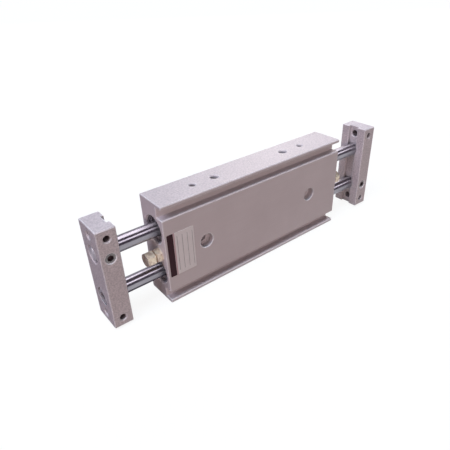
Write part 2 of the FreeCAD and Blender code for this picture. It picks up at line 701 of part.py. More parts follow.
nodes = [make_body_block()]
for level_name, level in LEVELS.items():
    for side_name, side in SIDES.items():
        place = f"{level_name}_{side_name}"
        axis_height = level_height(level)
        nodes.append(make_rod_cover(f"{place}_rod_cover", side, axis_height))
        nodes.append(make_bush(f"{place}_bush", side, axis_height))
        nodes.append(make_rod_seal(f"{place}_rod_seal", side, axis_height))
        nodes.append(make_seal_retainer(f"{place}_seal_retainer", side, axis_height))
        nodes.append(make_oring(f"{place}_oring", side, axis_height))
        nodes.append(make_snap_ring(f"{place}_snap_ring", side, axis_height))
    nodes.append(make_rod(f"{level_name}_rod", -level))
    nodes.append(make_piston(f"{level_name}_piston", level))
    nodes.append(make_piston_seal(f"{level_name}_piston_seal", level))
    nodes.append(make_magnet(f"{level_name}_magnet", level))
    nodes.append(make_piston_bumpers(f"{level_name}_piston_bumpers", level))
    nodes.append(make_piston_clips(f"{level_name}_piston_clips", level))
for side_name, side in SIDES.items():
    nodes.append(make_bumper_bolt(f"{side_name}_bumper_bolt", side))
    nodes.append(make_lock_nut(f"{side_name}_lock_nut", side))
    nodes.append(make_plate(f"{side_name}_plate", side))
    nodes.append(make_cap_screw(f"{side_name}_cap_screw", side))
    nodes.append(make_side_screw(f"{side_name}_side_screw", side))
doc.recompute()

# Check every object and write one file for each piece
for item in doc.Objects:
    if "Invalid" in item.State or "Error" in item.State:
        raise RuntimeError(f"{item.Label} did not build: {item.State}")
os.makedirs("parts", exist_ok=True)
for node in nodes:
    if node.Shape.isNull() or not node.Shape.isValid():
        raise RuntimeError(f"{node.Label} has no valid solid")
    node.Shape.exportStep(f"parts/{node.Label}.step")
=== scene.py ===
"""Looks of a twin rod air cylinder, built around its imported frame. Lengths are in metres."""
import json
import math

import bmesh
import bpy
from mathutils import Matrix, Vector


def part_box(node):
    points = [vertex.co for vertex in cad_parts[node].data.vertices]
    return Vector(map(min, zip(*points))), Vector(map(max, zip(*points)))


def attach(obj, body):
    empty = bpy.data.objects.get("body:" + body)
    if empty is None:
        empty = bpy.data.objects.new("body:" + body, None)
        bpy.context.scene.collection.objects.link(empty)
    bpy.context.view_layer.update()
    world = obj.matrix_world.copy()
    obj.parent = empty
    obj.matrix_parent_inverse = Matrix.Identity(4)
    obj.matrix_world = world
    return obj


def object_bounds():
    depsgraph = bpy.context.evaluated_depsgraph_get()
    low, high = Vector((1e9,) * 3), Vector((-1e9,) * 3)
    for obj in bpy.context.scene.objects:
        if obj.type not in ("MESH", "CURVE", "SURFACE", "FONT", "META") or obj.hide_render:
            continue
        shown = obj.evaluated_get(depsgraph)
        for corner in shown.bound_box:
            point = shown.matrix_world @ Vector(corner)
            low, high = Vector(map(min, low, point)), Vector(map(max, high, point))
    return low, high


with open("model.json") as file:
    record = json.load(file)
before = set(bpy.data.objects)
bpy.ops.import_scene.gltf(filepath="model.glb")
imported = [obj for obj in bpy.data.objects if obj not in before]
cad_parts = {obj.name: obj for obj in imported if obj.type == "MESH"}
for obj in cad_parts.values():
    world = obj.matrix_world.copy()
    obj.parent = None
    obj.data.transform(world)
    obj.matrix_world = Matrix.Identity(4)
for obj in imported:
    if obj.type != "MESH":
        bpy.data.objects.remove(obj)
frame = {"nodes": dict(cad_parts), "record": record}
cad_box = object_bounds()
MM = 0.001

body_low, body_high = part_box("body_block")

# Label on the front face, near the left end
LABEL_LEFT = body_low[0] + 1.4 * MM
LABEL_RIGHT = LABEL_LEFT + 15.9 * MM
LABEL_LOW = body_low[2] + 16.4 * MM
LABEL_HIGH = LABEL_LOW + 25.3 * MM
LABEL_THICKNESS = 0.08 * MM
LABEL_CORNER = 0.5 * MM
CORNER_STEPS = 4

# Print on the label: a dark band, a thin red line beside it and plain rules
BAND_END = LABEL_LEFT + 3.6 * MM
BAND_FADE = 0.05 * MM
RED_LINE = BAND_END + 0.45 * MM
RED_LINE_HALF = 0.3 * MM
RULES = 4
FIRST_RULE = BAND_END + 2.2 * MM
RULE_STEP = 3.0 * MM
RULE_HALF = 0.1 * MM
RULE_MARGIN = 2.3 * MM
RULE_FADE = 0.1 * MM

# Camera: standing in front of the left plate and looking down at the wide face
CAMERA_PLACE = Vector((-0.14624, -0.16887, 0.15557))
CAMERA_TARGET = Vector((-0.01502, 0.00559, 0.02156))
CAMERA_ROLL = math.radians(2.5)
IMAGE_SIDE = 450
FOCAL_PIXELS = 435.5
SENSOR_WIDTH = 36.0
NEAREST_SEEN = 0.01


def new_object(name, data):
    made = bpy.data.objects.new(name, data)
    bpy.context.scene.collection.objects.link(made)
    return made


def aimed(place, target):
    """A transform that stands at place and looks at target."""
    aim = (target - place).to_track_quat("-Z", "Y").to_matrix().to_4x4()
    return Matrix.Translation(place) @ aim


def add_camera():
    data = bpy.data.cameras.new("camera")
    data.sensor_width = SENSOR_WIDTH
    data.lens = SENSOR_WIDTH * FOCAL_PIXELS / IMAGE_SIDE
    data.clip_start = NEAREST_SEEN
    camera = new_object("camera", data)
    camera.matrix_world = aimed(CAMERA_PLACE, CAMERA_TARGET) @ Matrix.Rotation(-CAMERA_ROLL, 4, "Z")
    bpy.context.scene.camera = camera


# Node trees, and the usual values of a noise
NOISE_LOW = 0.3
NOISE_HIGH = 0.7
MOTTLE_LOW = 0.35
MOTTLE_HIGH = 0.65


class Graph:
    """A node tree with short ways to add and join nodes.

    A mix node has its own sockets for each kind of value: 2 and 3 take numbers, 6 and 7 colours.
    """

    def __init__(self, tree):
        self.tree = tree
        tree.nodes.clear()

    def add(self, kind, inputs=None, **settings):
        """A new node. Each input is a constant, or the socket of another node."""
        node = self.tree.nodes.new(kind)
        for name, value in settings.items():
            setattr(node, name, value)
        for socket, value in (inputs or {}).items():
            if isinstance(value, bpy.types.NodeSocket):
                self.tree.links.new(value, node.inputs[socket])
            else:
                node.inputs[socket].default_value = value
        return node

    def math(self, operation, first, second=0.0):
        return self.add("ShaderNodeMath", {0: first, 1: second}, operation=operation).outputs[0]

    def times(self, first, second):
        return self.math("MULTIPLY", first, second)

    def shares(self, first, first_share, second, second_share):
        """A share of first and a share of second, added."""
        return self.math("ADD", self.times(first, first_share), self.times(second, second_share))

    def span(self, value, low, high, to_low=0.0, to_high=1.0):
        """value taken from low..high to to_low..to_high and held there."""
        inputs = {"Value": value, "From Min": low, "From Max": high, "To Min": to_low, "To Max": to_high}
        return self.add("ShaderNodeMapRange", inputs, clamp=True).outputs["Result"]

    def spread(self, noise, to_low=0.0, to_high=1.0):
        """The usual values of a noise taken to to_low..to_high."""
        return self.span(noise, NOISE_LOW, NOISE_HIGH, to_low, to_high)

    def mix(self, amount, first, second):
        """A number between first and second."""
        return self.add("ShaderNodeMix", {0: amount, 2: first, 3: second}).outputs[0]

    def blend(self, amount, first, second):
        """A colour between first and second."""
        return self.add("ShaderNodeMix", {0: amount, 6: first, 7: second}, data_type="RGBA").outputs[2]

    def mottle(self, noise, dark, pale):
        """A colour that goes between dark and pale as a noise does."""
        return self.blend(self.span(noise, MOTTLE_LOW, MOTTLE_HIGH), dark, pale)

    def noise(self, place, scale, detail=3.0, roughness=0.55):
        inputs = {"Vector": place, "Scale": scale, "Detail": detail, "Roughness": roughness}
        return self.add("ShaderNodeTexNoise", inputs).outputs["Fac"]

    def streaks(self, place, scales, detail=4.0, roughness=0.6):
        """A noise with a scale for each axis, so that it runs in streaks."""
        stretched = self.add("ShaderNodeMapping", {"Vector": place, "Scale": scales}).outputs[0]
        return self.noise(stretched, 1.0, detail, roughness)

    def bump(self, height, strength, depth):
        inputs = {"Height": height, "Strength": strength, "Distance": depth}
        return self.add("ShaderNodeBump", inputs).outputs[0]


def seen_directly(graph):
    """1 for rays that see a surface as background: from the camera, or by way of metal or glass."""
    path = graph.add("ShaderNodeLightPath")
    camera_or_metal = graph.math("MAXIMUM", path.outputs["Is Camera Ray"], path.outputs["Is Glossy Ray"])
    return graph.math("MAXIMUM", camera_or_metal, path.outputs["Is Transmission Ray"])


def new_material(name):
    material = bpy.data.materials.new(name)
    material.use_nodes = True
    return material, Graph(material.node_tree)


def finish_material(graph, shader):
    graph.add("ShaderNodeOutputMaterial", {"Surface": shader.outputs[0]})


# Stage: pale floor, cards around the object that only metal shows, soft lamps
FLOOR_SIDE = 6.0
FLOOR_LEVEL = cad_box[0][2] - 0.05 * MM
FLOOR_TONE = (0.13, 0.125, 0.125, 1.0)
FLOOR_GLOW = 0.90
CARD_RADIUS = 1.6
CARD_LEFT = -1.5
CARD_RIGHT = 4.0
CARD_STEP = math.radians(6.0)
LIGHT_CARD_START = math.radians(122.0)
WINDOW_LEFT = 0.85
WINDOW_RIGHT = 1.75
FLOOR_CARD_BACK = 1.5
FLOOR_CARD_LEVEL = FLOOR_LEVEL + 0.02 * MM
DARK_TONE = (0.12, 0.098, 0.13, 1.0)
LEFT_CARD_TONE = (0.46, 0.44, 0.50, 1.0)
RIGHT_CARD_TONE = (0.12, 0.11, 0.13, 1.0)
WINDOW_TONE = (3.0, 2.8, 2.7, 1.0)
STRIP_RADIUS = 1.05
STRIP_MIDDLE = 0.6
STRIP_LENGTH = 3.6
FILL_SIDES = (1.4, 0.3)
KEY_SPREAD = math.radians(32.0)
KEY_STRENGTH = 1.60
SKY_STRENGTH = 0.04


def mesh_object(name, mesh_maker, material, closed):
    """An object whose mesh mesh_maker makes; the faces of a closed one look outwards."""
    mesh = bpy.data.meshes.new(name)
    shell = bmesh.new()
    mesh_maker(shell)
    if closed:
        bmesh.ops.recalc_face_normals(shell, faces=shell.faces)
    shell.to_mesh(mesh)
    shell.free()
    mesh.materials.append(material)
    return new_object(name, mesh)


def stage_object(name, mesh_maker, material):
    piece = mesh_object(name, mesh_maker, material, closed=False)
    return piece


def floor_material():
    material, graph = new_material("floor")
    cloth = graph.add("ShaderNodeBsdfDiffuse", {"Color": FLOOR_TONE})
    strength = graph.times(seen_directly(graph), FLOOR_GLOW)
    glow = graph.add("ShaderNodeEmission", {"Strength": strength})
    finish_material(graph, graph.add("ShaderNodeAddShader", {0: cloth.outputs[0], 1: glow.outputs[0]}))
    return material


def card_material(name, tone):
    material, graph = new_material(name)
    finish_material(graph, graph.add("ShaderNodeEmission", {"Color": tone}))
    return material


def floor_shape(sheet):
    bmesh.ops.create_grid(sheet, x_segments=1, y_segments=1, size=FLOOR_SIDE / 2)
    bmesh.ops.translate(sheet, verts=sheet.verts, vec=(0, 0, FLOOR_LEVEL))


def add_card(name, mesh_maker, tone):
    card = stage_object(name, mesh_maker, card_material(name, tone))
    card.visible_camera = False
    card.visible_diffuse = False
    card.visible_shadow = False


def floor_card_shape(sheet):
    """A card on the floor, to the left of the body's end and behind its front face."""
    left, right, front, back = CARD_LEFT, body_low[0], body_low[1], FLOOR_CARD_BACK
    corners = ((left, front), (right, front), (right, back), (left, back))
    sheet.faces.new([sheet.verts.new((x, y, FLOOR_CARD_LEVEL)) for x, y in corners])


def add_bent_card(name, left, right, first, last, tone):
    """A card bent around the X axis, between two angles that are counted up from the front."""
    def shape(sheet):
        steps = math.ceil((last - first) / CARD_STEP)
        rows = []
        for step in range(steps + 1):
            angle = first + (last - first) * step / steps
            y, z = -CARD_RADIUS * math.cos(angle), CARD_RADIUS * math.sin(angle)
            rows.append([sheet.verts.new((x, y, z)) for x in (left, right)])
        for low, high in zip(rows, rows[1:]):
            sheet.faces.new((low[0], low[1], high[1], high[0]))

    add_card(name, shape, tone)


def add_light_card(name, left, right, tone):
    """A card behind the object, which goes on where the dark one ends and comes down to the floor."""
    add_bent_card(name, left, right, LIGHT_CARD_START, math.pi, tone)


def add_lamp(name, data, place, target):
    lamp = new_object(name, data)
    lamp.matrix_world = aimed(Vector(place), Vector(target))
    lamp.visible_camera = False
    return lamp


def add_panel(name, place, target, sides, brightness, tint):
    """A flat lamp whose face is as bright as a white surface times brightness."""
    data = bpy.data.lights.new(name, "AREA")
    data.shape = "RECTANGLE"
    data.size, data.size_y = sides
    data.energy = brightness * math.pi * sides[0] * sides[1]
    data.color = tint
    return add_lamp(name, data, place, target)


def add_strip(name, degrees, spread_degrees, brightness, tint):
    """A long panel along X that the rods show as a streak, at an angle that is counted up from the front."""
    angle = math.radians(degrees)
    place = (STRIP_MIDDLE, -STRIP_RADIUS * math.cos(angle), STRIP_RADIUS * math.sin(angle))
    sides = (STRIP_LENGTH, STRIP_RADIUS * math.radians(spread_degrees))
    strip = add_panel(name, place, (STRIP_MIDDLE, 0.0, 0.0), sides, brightness, tint)
    strip.visible_diffuse = False


def add_fill(name, place, brightness, tint):
    """A panel that lights the faces on one side and isn't seen in metal."""
    panel = add_panel(name, place, (0.0, 0.0, 0.0), FILL_SIDES, brightness, tint)
    panel.visible_glossy = False


def add_key(name, direction, tint):
    """Even light from far away that isn't seen in metal."""
    data = bpy.data.lights.new(name, "SUN")
    data.angle = KEY_SPREAD
    data.energy = KEY_STRENGTH
    data.color = tint
    lamp = add_lamp(name, data, direction, (0.0, 0.0, 0.0))
    lamp.visible_glossy = False


def add_world():
    world = bpy.data.worlds.new("world")
    world.use_nodes = True
    bpy.context.scene.world = world
    graph = Graph(world.node_tree)
    strength = graph.span(seen_directly(graph), 0.0, 1.0, SKY_STRENGTH, 1.0)
    sky = graph.add("ShaderNodeBackground", {"Color": (1.0, 1.0, 1.0, 1.0), "Strength": strength})
    graph.add("ShaderNodeOutputWorld", {"Surface": sky.outputs[0]})


def add_stage():
    stage_object("floor", floor_shape, floor_material())
    add_card("floor_card", floor_card_shape, DARK_TONE)
    add_bent_card("dark_card", CARD_LEFT, CARD_RIGHT, first=0.0, last=LIGHT_CARD_START, tone=DARK_TONE)
    add_light_card("left_card", CARD_LEFT, WINDOW_LEFT, LEFT_CARD_TONE)
    add_light_card("right_card", WINDOW_RIGHT, CARD_RIGHT, RIGHT_CARD_TONE)
    add_light_card("window", WINDOW_LEFT, WINDOW_RIGHT, WINDOW_TONE)
    add_key("upper_key", direction=(-0.06, -0.08, 0.98), tint=(0.67, 0.90, 1.0))
    add_key("left_key", direction=(-0.60, -0.09, 0.80), tint=(0.82, 0.82, 1.0))
    add_strip("overhead", degrees=109.0, spread_degrees=40.0, brightness=3.4, tint=(1.0, 0.96, 1.0))
    add_strip("front_strip", degrees=47.0, spread_degrees=18.0, brightness=3.0, tint=(1.0, 0.95, 1.0))
    add_fill("front_fill", place=(-0.5, -1.1, 0.20), brightness=3.85, tint=(1.0, 0.81, 0.735))
    add_fill("back_fill", place=(0.8, 0.9, 0.3), brightness=4.0, tint=(1.0, 0.86, 0.82))
    add_world()


# Tones that the materials are mixed from; the edge tones are part wear, part painted highlight, and the
# groove, hole and recess tones are painted light and shade
PIT_TONE = (0.36, 0.30, 0.315, 1.0)
WORN_HIGHLIGHT_ALUMINIUM = (0.98, 0.94, 0.96, 1.0)
PAINTED_GROOVE_LIGHT = (0.68, 0.635, 0.67, 1.0)
PAINTED_HOLE_SHADE = (0.09, 0.078, 0.082, 1.0)
CHROME_DARK = (0.30, 0.285, 0.32, 1.0)
CHROME_PALE = (0.35, 0.335, 0.37, 1.0)
BARE_STEEL_DARK = (0.64, 0.58, 0.62, 1.0)
BARE_STEEL_PALE = (0.73, 0.67, 0.70, 1.0)
GOLD_DARK = (0.80, 0.66, 0.50, 1.0)
GOLD_PALE = (0.90, 0.77, 0.60, 1.0)
ROSE_TONE = (0.46, 0.33, 0.29, 1.0)
WORN_HIGHLIGHT_GOLD = (1.0, 0.95, 0.88, 1.0)
RUBBED_HIGHLIGHT_STEEL = (0.55, 0.54, 0.55, 1.0)
PAINTED_RECESS_SHADE = (0.15, 0.105, 0.115, 1.0)
FILM_DARK = (0.87, 0.785, 0.785, 1.0)
FILM_PALE = (0.93, 0.855, 0.855, 1.0)
RULE_TONE = (0.30, 0.25, 0.26, 1.0)
RED_TONE = (0.62, 0.36, 0.40, 1.0)
BAND_DARK = (0.026, 0.004, 0.008, 1.0)
BAND_PALE = (0.042, 0.010, 0.016, 1.0)

# How fine lines, rings and fibres are, in steps to the metre; three numbers go with X, Y and Z
LINE_LENGTHWISE = 30.0
LINE_CROSSWISE = 5000.0
END_LINES = {"X": (5000.0, 40.0, 3500.0), "Z": (40.0, 40.0, 5000.0)}
LATHE_RINGS = (7000.0, 60.0, 60.0)
GRINDING_RINGS = (6000.0, 60.0, 60.0)
FILM_FIBRES = (900.0, 900.0, 300.0)

# Limits between faces across and along an axis, and between flats and sharp edges
LOOKS_ACROSS = 0.6
LOOKS_ALONG = 0.8
FLAT_MATCH = 0.99
EDGE_MATCH = 0.90


def painted(material, graph, inputs):
    """The material, with a surface that takes these inputs."""
    finish_material(graph, graph.add("ShaderNodeBsdfPrincipled", inputs))
    return material


def local_place(graph):
    return graph.add("ShaderNodeTexCoord").outputs["Object"]


def facing(graph, axis, across=0.0, along=1.0):
    """along on faces that look along an axis, and across on the others."""
    normal = graph.add("ShaderNodeTexCoord").outputs["Normal"]
    part = graph.add("ShaderNodeSeparateXYZ", {0: normal}).outputs[axis]
    return graph.span(graph.math("ABSOLUTE", part), LOOKS_ACROSS, LOOKS_ALONG, across, along)


def edge_wear_and_highlight(graph, place, width):
    """1 on patches of sharp edges, where wear and a painted highlight go, 0 on flats."""
    rounded = graph.add("ShaderNodeBevel", {"Radius": width}, samples=4).outputs[0]
    flat = graph.add("ShaderNodeNewGeometry").outputs["True Normal"]
    match = graph.add("ShaderNodeVectorMath", {0: rounded, 1: flat}, operation="DOT_PRODUCT")
    edge = graph.span(match.outputs["Value"], FLAT_MATCH, EDGE_MATCH)
    patches = graph.span(graph.noise(place, scale=220.0), 0.35, 0.6, to_low=0.55)
    return graph.times(edge, patches)


def sheltered(graph, reach, deep, open_air):
    """1 where other faces within reach leave little open air, 0 on open faces."""
    air = graph.add("ShaderNodeAmbientOcclusion", {"Distance": reach}, samples=8).outputs["AO"]
    return graph.span(air, deep, open_air, 1.0, 0.0)


def anodised(name, pale, dark, lines_along, shine, level_pits, upright_pits, hole_shade_up_to):
    """Satin clear anodised aluminium. Fine lines run along one axis, and others mark its end faces.

    The pits say how strong the pitted grain is on faces that look up or down, and on upright ones,
    and the last argument how much open air a place in a hole may have and still get painted shade.
    """
    material, graph = new_material(name)
    place = local_place(graph)
    side_scales = [LINE_LENGTHWISE if axis == lines_along else LINE_CROSSWISE for axis in "XYZ"]
    side_lines = graph.streaks(place, side_scales)
    end_lines = graph.streaks(place, END_LINES[lines_along])
    lines = graph.mix(facing(graph, lines_along), side_lines, end_lines)
    grain = graph.noise(place, scale=9000.0, detail=2.0)
    pebble = graph.noise(place, scale=1100.0, detail=2.0)
    clouds = graph.noise(place, scale=45.0)
    colour = graph.mottle(graph.shares(lines, 0.45, clouds, 0.55), dark, pale)
    pits = facing(graph, "Z", upright_pits, level_pits)
    colour = graph.blend(graph.times(graph.span(pebble, 0.38, 0.62), pits), colour, PIT_TONE)
    # Sharp edges are painted pale: partly wear, partly a painted highlight.
    colour = graph.blend(edge_wear_and_highlight(graph, place, width=0.55 * MM), colour, WORN_HIGHLIGHT_ALUMINIUM)
    # Painted light: grooves and other sheltered places are painted greyer, to offset the warm light that is
    # all that reaches them.
    groove_light = sheltered(graph, reach=6.0 * MM, deep=0.55, open_air=0.80)
    colour = graph.blend(graph.times(groove_light, 0.8), colour, PAINTED_GROOVE_LIGHT)
    # Painted shade: places deep in holes are painted dark.
    holes = sheltered(graph, reach=4.0 * MM, deep=0.15, open_air=hole_shade_up_to)
    colour = graph.blend(graph.times(holes, 0.9), colour, PAINTED_HOLE_SHADE)
    rough = graph.spread(graph.shares(grain, 0.5, lines, 0.5), shine - 0.06, shine + 0.08)
    height = graph.math("ADD", graph.shares(lines, 0.2, grain, 0.2), graph.times(pebble, 0.6))
    return painted(material, graph, {
        "Base Color": colour, "Metallic": 0.05, "Roughness": rough, "Specular IOR Level": 0.3,
        "Normal": graph.bump(height, strength=0.4, depth=0.2 * MM)})


def turned_metal(name, pale, dark, shine, metallic=1.0):
    """Metal finished on a lathe: fine rings about the X axis."""
    material, graph = new_material(name)
    place = local_place(graph)
    rings = graph.streaks(place, LATHE_RINGS, detail=3.0)
    clouds = graph.noise(place, scale=130.0)
    tone = graph.shares(rings, 0.4, clouds, 0.6)
    colour = graph.mottle(tone, dark, pale)
    # Sharp edges are painted paler: partly wear, partly a painted highlight.
    wear_and_highlight = edge_wear_and_highlight(graph, place, width=0.12 * MM)
    bright = tuple(min(1.0, 1.3 * part) for part in pale[:3]) + (1.0,)
    colour = graph.blend(graph.times(wear_and_highlight, 0.5), colour, bright)
    return painted(material, graph, {
        "Base Color": colour, "Metallic": metallic,
        "Roughness": graph.spread(tone, shine - 0.04, shine + 0.05),
        "Normal": graph.bump(rings, strength=0.1, depth=0.02 * MM)})


def ground_chrome(name):
    """Hard chrome with grinding rings that spread its shine along the rod, and dull steel on the ends."""
    material, graph = new_material(name)
    place = local_place(graph)
    rings = graph.streaks(place, GRINDING_RINGS, detail=3.0)
    clouds = graph.noise(place, scale=130.0)
    end_face = facing(graph, "X")
    chrome = graph.mottle(clouds, CHROME_DARK, CHROME_PALE)
    steel = graph.mottle(clouds, BARE_STEEL_DARK, BARE_STEEL_PALE)
    chrome_rough = graph.spread(rings, 0.27, 0.34)
    steel_rough = graph.spread(graph.noise(place, scale=5000.0), 0.42, 0.55)
    around = graph.add("ShaderNodeTangent", direction_type="RADIAL", axis="X").outputs[0]
    return painted(material, graph, {
        "Base Color": graph.blend(end_face, chrome, steel),
        "Metallic": graph.span(end_face, 0.0, 1.0, 1.0, 0.2),
        "Roughness": graph.mix(end_face, chrome_rough, steel_rough),
        "Anisotropic": 0.97, "Anisotropic Rotation": 0.25, "Tangent": around,
        "Normal": graph.bump(rings, strength=0.1, depth=0.004 * MM)})


def plated_steel(name):
    """Yellow zinc plating: a pale gold with rosy patches, and edges painted pale for wear and a painted
    highlight.
    """
    material, graph = new_material(name)
    place = local_place(graph)
    gold = graph.mottle(graph.noise(place, scale=420.0, detail=2.0), GOLD_DARK, GOLD_PALE)
    rose = graph.span(graph.noise(place, scale=480.0, detail=2.0), 0.45, 0.62)
    colour = graph.blend(graph.times(rose, 0.75), gold, ROSE_TONE)
    # Edges: partly wear, partly a painted highlight.
    wear_and_highlight = edge_wear_and_highlight(graph, place, width=0.4 * MM)
    colour = graph.blend(graph.times(wear_and_highlight, 0.9), colour, WORN_HIGHLIGHT_GOLD)
    grain = graph.noise(place, scale=6000.0, detail=2.0)
    return painted(material, graph, {
        "Base Color": colour, "Metallic": 0.4, "Roughness": graph.spread(grain, 0.16, 0.28),
        "Normal": graph.bump(grain, strength=0.1, depth=0.03 * MM)})


def grainy_steel(name, pale, dark, shine):
    """Steel with a grainy finish, edges painted pale for wear and a painted highlight, and painted shade in
    its recesses.
    """
    material, graph = new_material(name)
    place = local_place(graph)
    grain = graph.noise(place, scale=5000.0)
    clouds = graph.noise(place, scale=350.0)
    colour = graph.mottle(graph.shares(grain, 0.4, clouds, 0.6), dark, pale)
    # Edges: partly wear, partly a painted highlight.
    wear_and_highlight = edge_wear_and_highlight(graph, place, width=0.12 * MM)
    colour = graph.blend(graph.times(wear_and_highlight, 0.55), colour, RUBBED_HIGHLIGHT_STEEL)
    # Painted shade: places with little open air, such as sockets and thread ridges deep in holes, are
    # painted dark.
    recess_shade = sheltered(graph, reach=5.0 * MM, deep=0.25, open_air=0.65)
    colour = graph.blend(graph.times(recess_shade, 0.9), colour, PAINTED_RECESS_SHADE)
    return painted(material, graph, {
        "Base Color": colour, "Metallic": 0.6, "Roughness": graph.spread(grain, shine - 0.06, shine + 0.1),
        "Normal": graph.bump(grain, strength=0.15, depth=0.03 * MM)})


def moulded(name, pale, dark, shine):
    """Rubber or filled plastic: a matt skin with a fine pebble."""
    material, graph = new_material(name)
    place = local_place(graph)
    pebble = graph.noise(place, scale=4500.0)
    colour = graph.mottle(graph.noise(place, scale=300.0), dark, pale)
    return painted(material, graph, {
        "Base Color": colour, "Roughness": graph.spread(pebble, shine - 0.08, shine + 0.08),
        "Normal": graph.bump(pebble, strength=0.25, depth=0.04 * MM)})


def printed_film(name):
    """A pale film with a dark band along one end, a thin red line beside it and a few plain rules."""
    material, graph = new_material(name)
    place = local_place(graph)
    parts = graph.add("ShaderNodeSeparateXYZ", {0: place}).outputs
    fibres = graph.streaks(place, FILM_FIBRES, roughness=0.55)
    fibre_tone = graph.spread(fibres)

    def line_at(x, half_width):
        """1 on an upright line at x, 0 beside it."""
        away = graph.math("ABSOLUTE", graph.math("SUBTRACT", parts["X"], x))
        return graph.span(away, 0.7 * half_width, 1.3 * half_width, 1.0, 0.0)

    def edge_at(part, edge, fade, before, after):
        return graph.span(part, edge - fade, edge + fade, before, after)

    colour = graph.blend(fibre_tone, FILM_DARK, FILM_PALE)
    above_low = edge_at(parts["Z"], LABEL_LOW + RULE_MARGIN, RULE_FADE, before=0.0, after=1.0)
    below_high = edge_at(parts["Z"], LABEL_HIGH - RULE_MARGIN, RULE_FADE, before=1.0, after=0.0)
    ruled = graph.times(above_low, below_high)
    for rule in range(RULES):
        mask = graph.times(line_at(FIRST_RULE + rule * RULE_STEP, RULE_HALF), ruled)
        colour = graph.blend(mask, colour, RULE_TONE)
    colour = graph.blend(line_at(RED_LINE, RED_LINE_HALF), colour, RED_TONE)
    band = edge_at(parts["X"], BAND_END, BAND_FADE, before=1.0, after=0.0)
    colour = graph.blend(band, colour, graph.blend(fibre_tone, BAND_DARK, BAND_PALE))
    return painted(material, graph, {
        "Base Color": colour, "Roughness": graph.spread(fibres, 0.38, 0.52), "Specular IOR Level": 0.15,
        "Normal": graph.bump(fibres, strength=0.08, depth=0.02 * MM)})


def slot_materials():
    """The material of each slot, and two more: end screws painted paler as sheen, and threads painted dark
    as shade.
    """
    return {
        "anodised_body": anodised(
            "anodised_body", pale=(0.69, 0.585, 0.595, 1.0), dark=(0.63, 0.527, 0.537, 1.0),
            lines_along="X", shine=0.42, level_pits=0.40, upright_pits=0.03, hole_shade_up_to=0.40),
        "anodised_plate": anodised(
            "anodised_plate", pale=(0.75, 0.64, 0.66, 1.0), dark=(0.69, 0.58, 0.597, 1.0),
            lines_along="Z", shine=0.40, level_pits=0.45, upright_pits=0.50, hole_shade_up_to=0.66),
        "cover_alloy": turned_metal(
            "cover_alloy", pale=(0.33, 0.32, 0.33, 1.0), dark=(0.26, 0.25, 0.26, 1.0), shine=0.40),
        "bush_bronze": turned_metal(
            "bush_bronze", pale=(0.58, 0.43, 0.22, 1.0), dark=(0.48, 0.34, 0.17, 1.0), shine=0.42),
        "black_rubber": moulded(
            "black_rubber", pale=(0.035, 0.034, 0.035, 1.0), dark=(0.022, 0.022, 0.023, 1.0), shine=0.55),
        "bumper_rubber": moulded(
            "bumper_rubber", pale=(0.12, 0.08, 0.055, 1.0), dark=(0.085, 0.055, 0.04, 1.0), shine=0.50),
        "retainer_steel": turned_metal(
            "retainer_steel", pale=(0.52, 0.50, 0.53, 1.0), dark=(0.42, 0.40, 0.43, 1.0), shine=0.40,
            metallic=0.5),
        "black_spring_steel": grainy_steel(
            "black_spring_steel", pale=(0.32, 0.30, 0.33, 1.0), dark=(0.22, 0.205, 0.23, 1.0), shine=0.40),
        "yellow_zinc_steel": plated_steel("yellow_zinc_steel"),
        "hard_chrome": ground_chrome("hard_chrome"),
        "piston_alloy": turned_metal(
            "piston_alloy", pale=(0.58, 0.57, 0.58, 1.0), dark=(0.50, 0.49, 0.50, 1.0), shine=0.32),
        "bonded_magnet": moulded(
            "bonded_magnet", pale=(0.07, 0.068, 0.075, 1.0), dark=(0.05, 0.048, 0.052, 1.0), shine=0.48),
        "dark_screw_steel": grainy_steel(
            "dark_screw_steel", pale=(0.26, 0.24, 0.24, 1.0), dark=(0.17, 0.155, 0.16, 1.0), shine=0.32),
        "label_film": printed_film("label_film"),
        # End cap screws: pale steel, painted paler still as a painted sheen on their heads.
        "pale_sheen_screw_steel": grainy_steel(
            "pale_sheen_screw_steel", pale=(0.88, 0.83, 0.85, 1.0), dark=(0.68, 0.63, 0.65, 1.0), shine=0.30),
        # Thread ridges are painted dark, as painted shade inside the tapped holes.
        "shade_dark_thread": grainy_steel(
            "shade_dark_thread", pale=(0.20, 0.18, 0.18, 1.0), dark=(0.12, 0.105, 0.11, 1.0), shine=0.34),
    }


def dress_nodes():
    """Every node gets the material of its slot, apart from the end screws, which are painted brighter as a
    sheen.
    """
    for part in frame["record"]["subparts"]:
        painted_sheen = part["node"].endswith("cap_screw")
        for slot in frame["nodes"][part["node"]].material_slots:
            slot.material = materials["pale_sheen_screw_steel" if painted_sheen else part["material_slot"]]


# Pieces that only show: the label, the threads and the rims of larger holes
THREAD_STEPS = 24
THREAD_HEIGHT = 0.16 * MM
THREAD_START = 0.7 * MM
CREST_AT = 0.4
RIDGE_END = 0.8
M4_PITCH = 0.7 * MM
M5_PITCH = 0.8 * MM
FACE_THREAD_LENGTH = 5.0 * MM
PLATE_THREAD_LENGTH = 6.4 * MM
EDGE_THREAD_LENGTH = 4.0 * MM
PORT_THREAD_LENGTH = 3.6 * MM
SINK_RADIUS = 4.25 * MM
SINK_RIM = 0.3 * MM
RIM_STEPS = 48
INTO_WALL = 0.02 * MM


def shown_piece(name, mesh_maker, body, slot, finish=None):
    piece = mesh_object(name, mesh_maker, materials[finish or slot], closed=True)
    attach(piece, body)


def mount_named(name):
    return next(mount for mount in frame["record"]["mounts"] if mount["name"] == name)


